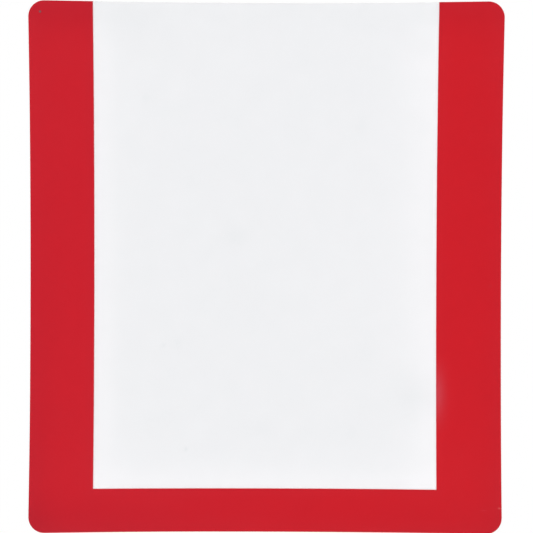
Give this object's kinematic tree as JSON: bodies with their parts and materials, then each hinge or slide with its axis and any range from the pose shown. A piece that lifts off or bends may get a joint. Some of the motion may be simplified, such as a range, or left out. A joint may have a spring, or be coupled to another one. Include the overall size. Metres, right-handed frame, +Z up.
{
  "type": "floor marking pouch",
  "caption": "Self-adhesive floor pouch with a clear window in a red border, open at one end, so that a paper sheet slides in and out.",
  "frame": {"origin": "middle of the underside, on the floor", "axes": "+X across the pouch, +Y along it towards the open mouth of the pocket, +Z up off the floor"},
  "size_m": [0.292, 0.3274, 0.0022],
  "materials": {
    "liner_paper": "smooth siliconised paper, slightly glossy",
    "clear_adhesive": "clear tacky film",
    "white_vinyl": "matt white sheet with a slight blue cast",
    "red_vinyl": "satin red sheet",
    "clear_vinyl": "clear satin film with a fine anti-slip grain"
  },
  "bodies": {
    "root": {"release_liner_foot_panel": "liner_paper", "release_liner_mouth_panel": "liner_paper", "adhesive_layer": "clear_adhesive", "back_sheet": "white_vinyl", "colour_border": "red_vinyl", "front_film": "clear_vinyl"}
  },
  "joints": []
}
